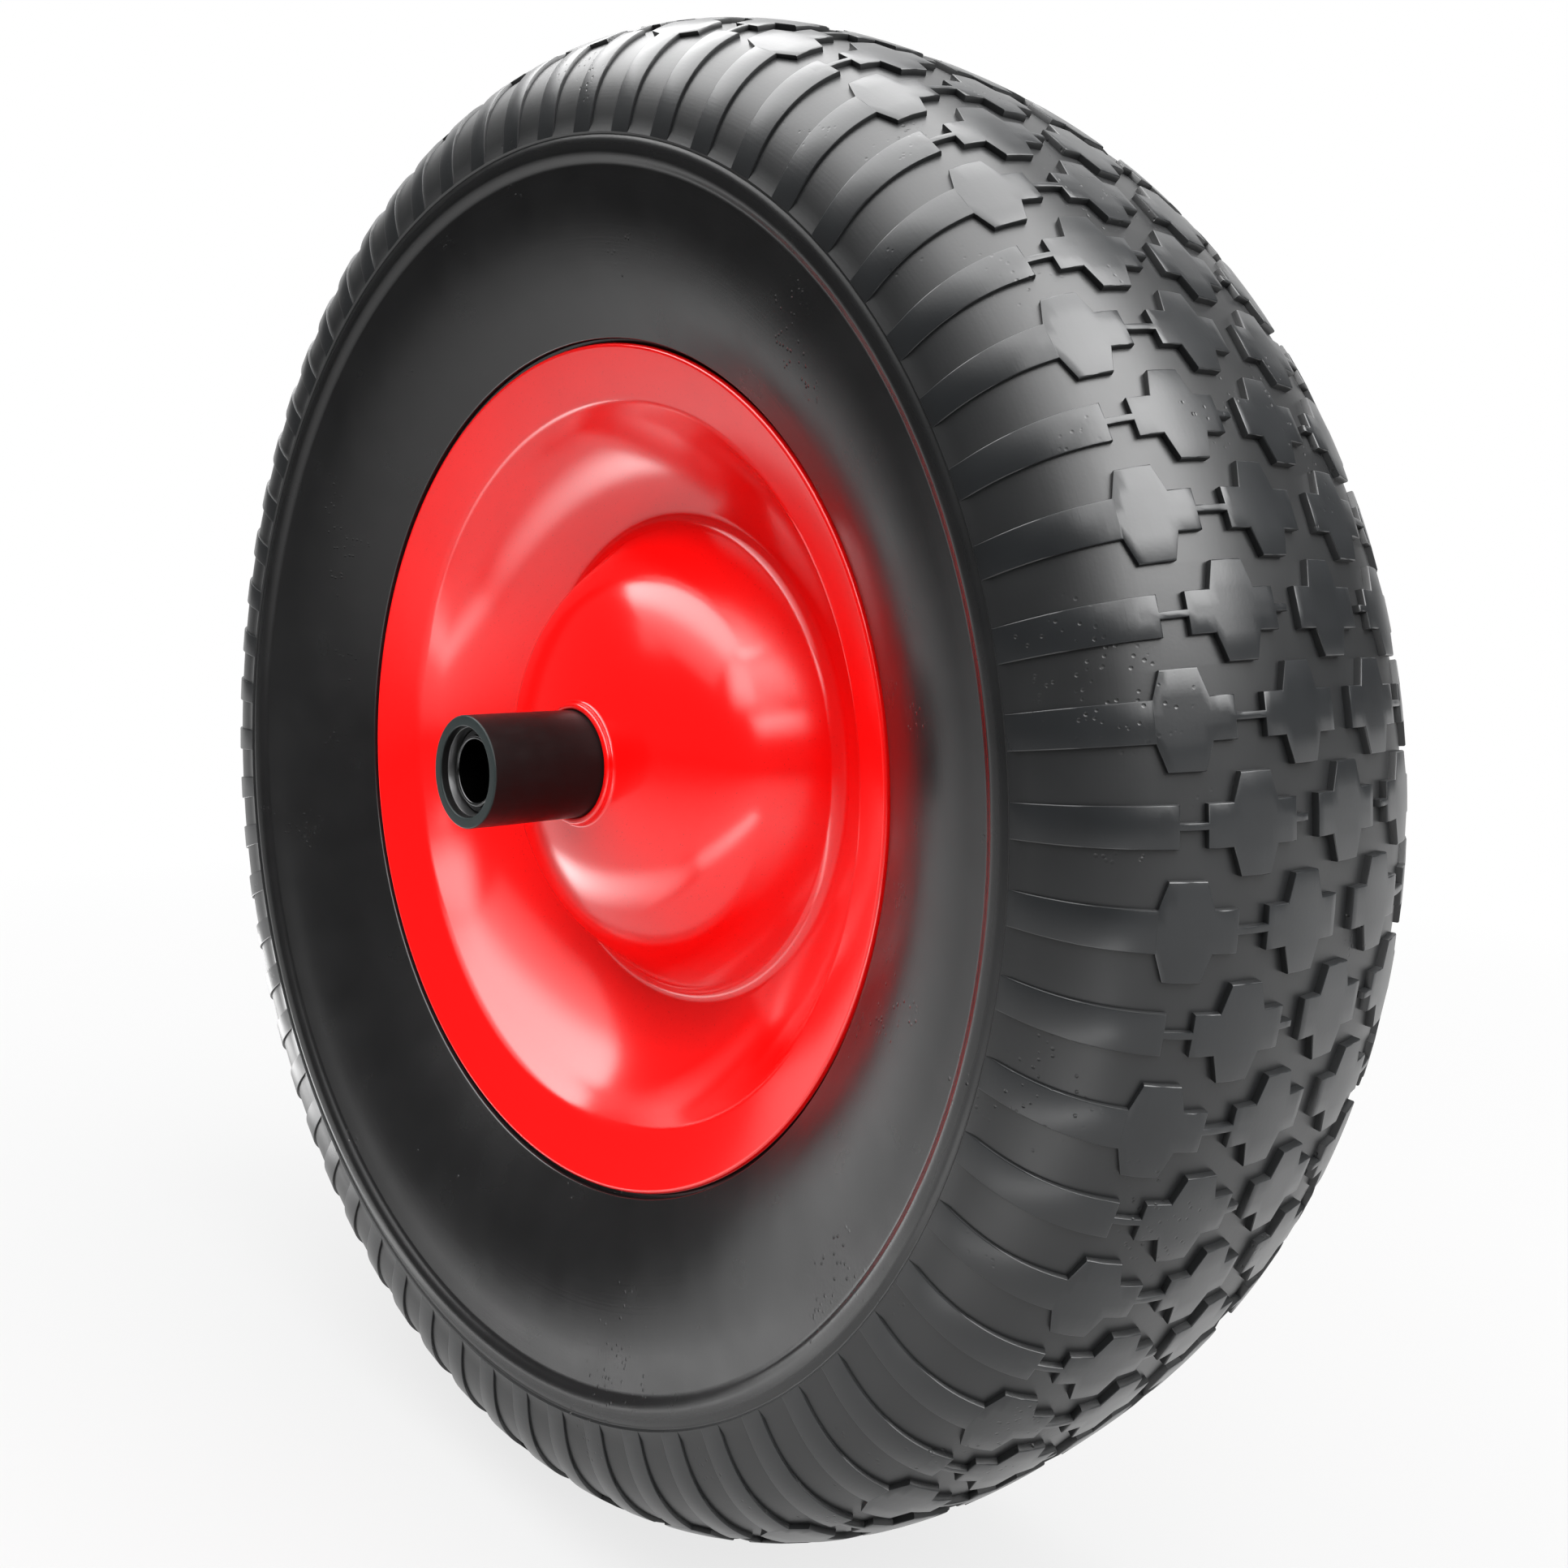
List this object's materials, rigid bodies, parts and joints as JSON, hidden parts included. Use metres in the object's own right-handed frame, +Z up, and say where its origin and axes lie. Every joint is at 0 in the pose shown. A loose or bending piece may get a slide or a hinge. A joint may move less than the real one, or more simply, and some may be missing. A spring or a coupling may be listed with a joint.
{
  "type": "wheelbarrow wheel",
  "caption": "Puncture-proof wheelbarrow wheel: a solid foam tyre with a cross-block tread on a pressed steel dish rim, with a long hub tube and roller bearings on an axle sleeve.",
  "frame": {"origin": "centre of the wheel: on the spin axis, in the tyre's middle plane", "axes": "+Y along the spin axis, towards the back side of the wheel; the side shown first faces -Y; +Z is up when the wheel stands on its tread"},
  "size_m": [0.39, 0.142, 0.39],
  "materials": {
    "tyre": "satin moulded foam rubber",
    "rim": "gloss",
    "hub_black": "satin",
    "bright_steel": "turned",
    "bearing_steel": "ground",
    "cage": "matt"
  },
  "bodies": {
    "axle": {"axle_sleeve": "bright_steel"},
    "wheel": {"tyre": "tyre", "hub_tube": "hub_black", "rim_half_front": "rim", "bearing_cup_front": "bearing_steel", "rim_half_back": "rim", "bearing_cup_back": "bearing_steel"},
    "roller_cage_front": {"roller_cage_front": "cage"},
    "roller_cage_back": {"roller_cage_back": "cage"},
    "roller_01_front": {"roller_01_front": "bearing_steel"},
    "roller_02_front": {"roller_02_front": "bearing_steel"},
    "roller_03_front": {"roller_03_front": "bearing_steel"},
    "roller_04_front": {"roller_04_front": "bearing_steel"},
    "roller_05_front": {"roller_05_front": "bearing_steel"},
    "roller_06_front": {"roller_06_front": "bearing_steel"},
    "roller_07_front": {"roller_07_front": "bearing_steel"},
    "roller_08_front": {"roller_08_front": "bearing_steel"},
    "roller_09_front": {"roller_09_front": "bearing_steel"},
    "roller_10_front": {"roller_10_front": "bearing_steel"},
    "roller_01_back": {"roller_01_back": "bearing_steel"},
    "roller_02_back": {"roller_02_back": "bearing_steel"},
    "roller_03_back": {"roller_03_back": "bearing_steel"},
    "roller_04_back": {"roller_04_back": "bearing_steel"},
    "roller_05_back": {"roller_05_back": "bearing_steel"},
    "roller_06_back": {"roller_06_back": "bearing_steel"},
    "roller_07_back": {"roller_07_back": "bearing_steel"},
    "roller_08_back": {"roller_08_back": "bearing_steel"},
    "roller_09_back": {"roller_09_back": "bearing_steel"},
    "roller_10_back": {"roller_10_back": "bearing_steel"}
  },
  "joints": [
    {"name": "wheel_spin", "type": "hinge", "parent": "axle", "child": "wheel", "pos_m": [0, 0, 0], "axis": [0, 1, 0], "continuous": true},
    {"name": "roller_cage_front_turn", "type": "hinge", "parent": "axle", "child": "roller_cage_front", "pos_m": [0, -0.0608, 0], "axis": [0, 1, 0], "continuous": true},
    {"name": "roller_cage_back_turn", "type": "hinge", "parent": "axle", "child": "roller_cage_back", "pos_m": [0, 0.0608, 0], "axis": [0, 1, 0], "continuous": true},
    {"name": "roller_01_front_roll", "type": "hinge", "parent": "roller_cage_front", "child": "roller_01_front", "pos_m": [0.00991, -0.0608, 0], "axis": [0, 1, 0], "continuous": true},
    {"name": "roller_02_front_roll", "type": "hinge", "parent": "roller_cage_front", "child": "roller_02_front", "pos_m": [0.00802, -0.0608, 0.00582], "axis": [0, 1, 0], "continuous": true},
    {"name": "roller_03_front_roll", "type": "hinge", "parent": "roller_cage_front", "child": "roller_03_front", "pos_m": [0.00306, -0.0608, 0.00942], "axis": [0, 1, 0], "continuous": true},
    {"name": "roller_04_front_roll", "type": "hinge", "parent": "roller_cage_front", "child": "roller_04_front", "pos_m": [-0.00306, -0.0608, 0.00942], "axis": [0, 1, 0], "continuous": true},
    {"name": "roller_05_front_roll", "type": "hinge", "parent": "roller_cage_front", "child": "roller_05_front", "pos_m": [-0.00802, -0.0608, 0.00582], "axis": [0, 1, 0], "continuous": true},
    {"name": "roller_06_front_roll", "type": "hinge", "parent": "roller_cage_front", "child": "roller_06_front", "pos_m": [-0.00991, -0.0608, 0], "axis": [0, 1, 0], "continuous": true},
    {"name": "roller_07_front_roll", "type": "hinge", "parent": "roller_cage_front", "child": "roller_07_front", "pos_m": [-0.00802, -0.0608, -0.00582], "axis": [0, 1, 0], "continuous": true},
    {"name": "roller_08_front_roll", "type": "hinge", "parent": "roller_cage_front", "child": "roller_08_front", "pos_m": [-0.00306, -0.0608, -0.00942], "axis": [0, 1, 0], "continuous": true},
    {"name": "roller_09_front_roll", "type": "hinge", "parent": "roller_cage_front", "child": "roller_09_front", "pos_m": [0.00306, -0.0608, -0.00942], "axis": [0, 1, 0], "continuous": true},
    {"name": "roller_10_front_roll", "type": "hinge", "parent": "roller_cage_front", "child": "roller_10_front", "pos_m": [0.00802, -0.0608, -0.00582], "axis": [0, 1, 0], "continuous": true},
    {"name": "roller_01_back_roll", "type": "hinge", "parent": "roller_cage_back", "child": "roller_01_back", "pos_m": [0.00991, 0.0608, 0], "axis": [0, 1, 0], "continuous": true},
    {"name": "roller_02_back_roll", "type": "hinge", "parent": "roller_cage_back", "child": "roller_02_back", "pos_m": [0.00802, 0.0608, 0.00582], "axis": [0, 1, 0], "continuous": true},
    {"name": "roller_03_back_roll", "type": "hinge", "parent": "roller_cage_back", "child": "roller_03_back", "pos_m": [0.00306, 0.0608, 0.00942], "axis": [0, 1, 0], "continuous": true},
    {"name": "roller_04_back_roll", "type": "hinge", "parent": "roller_cage_back", "child": "roller_04_back", "pos_m": [-0.00306, 0.0608, 0.00942], "axis": [0, 1, 0], "continuous": true},
    {"name": "roller_05_back_roll", "type": "hinge", "parent": "roller_cage_back", "child": "roller_05_back", "pos_m": [-0.00802, 0.0608, 0.00582], "axis": [0, 1, 0], "continuous": true},
    {"name": "roller_06_back_roll", "type": "hinge", "parent": "roller_cage_back", "child": "roller_06_back", "pos_m": [-0.00991, 0.0608, 0], "axis": [0, 1, 0], "continuous": true},
    {"name": "roller_07_back_roll", "type": "hinge", "parent": "roller_cage_back", "child": "roller_07_back", "pos_m": [-0.00802, 0.0608, -0.00582], "axis": [0, 1, 0], "continuous": true},
    {"name": "roller_08_back_roll", "type": "hinge", "parent": "roller_cage_back", "child": "roller_08_back", "pos_m": [-0.00306, 0.0608, -0.00942], "axis": [0, 1, 0], "continuous": true},
    {"name": "roller_09_back_roll", "type": "hinge", "parent": "roller_cage_back", "child": "roller_09_back", "pos_m": [0.00306, 0.0608, -0.00942], "axis": [0, 1, 0], "continuous": true},
    {"name": "roller_10_back_roll", "type": "hinge", "parent": "roller_cage_back", "child": "roller_10_back", "pos_m": [0.00802, 0.0608, -0.00582], "axis": [0, 1, 0], "continuous": true}
  ],
  "couplings": [
    {"joint": "roller_cage_front_turn", "follows": "wheel_spin", "ratio": 0.54591},
    {"joint": "roller_cage_back_turn", "follows": "wheel_spin", "ratio": 0.54591},
    {"joint": "roller_01_front_roll", "follows": "wheel_spin", "ratio": 5.5832},
    {"joint": "roller_02_front_roll", "follows": "wheel_spin", "ratio": 5.5832},
    {"joint": "roller_03_front_roll", "follows": "wheel_spin", "ratio": 5.5832},
    {"joint": "roller_04_front_roll", "follows": "wheel_spin", "ratio": 5.5832},
    {"joint": "roller_05_front_roll", "follows": "wheel_spin", "ratio": 5.5832},
    {"joint": "roller_06_front_roll", "follows": "wheel_spin", "ratio": 5.5832},
    {"joint": "roller_07_front_roll", "follows": "wheel_spin", "ratio": 5.5832},
    {"joint": "roller_08_front_roll", "follows": "wheel_spin", "ratio": 5.5832},
    {"joint": "roller_09_front_roll", "follows": "wheel_spin", "ratio": 5.5832},
    {"joint": "roller_10_front_roll", "follows": "wheel_spin", "ratio": 5.5832},
    {"joint": "roller_01_back_roll", "follows": "wheel_spin", "ratio": 5.5832},
    {"joint": "roller_02_back_roll", "follows": "wheel_spin", "ratio": 5.5832},
    {"joint": "roller_03_back_roll", "follows": "wheel_spin", "ratio": 5.5832},
    {"joint": "roller_04_back_roll", "follows": "wheel_spin", "ratio": 5.5832},
    {"joint": "roller_05_back_roll", "follows": "wheel_spin", "ratio": 5.5832},
    {"joint": "roller_06_back_roll", "follows": "wheel_spin", "ratio": 5.5832},
    {"joint": "roller_07_back_roll", "follows": "wheel_spin", "ratio": 5.5832},
    {"joint": "roller_08_back_roll", "follows": "wheel_spin", "ratio": 5.5832},
    {"joint": "roller_09_back_roll", "follows": "wheel_spin", "ratio": 5.5832},
    {"joint": "roller_10_back_roll", "follows": "wheel_spin", "ratio": 5.5832}
  ]
}
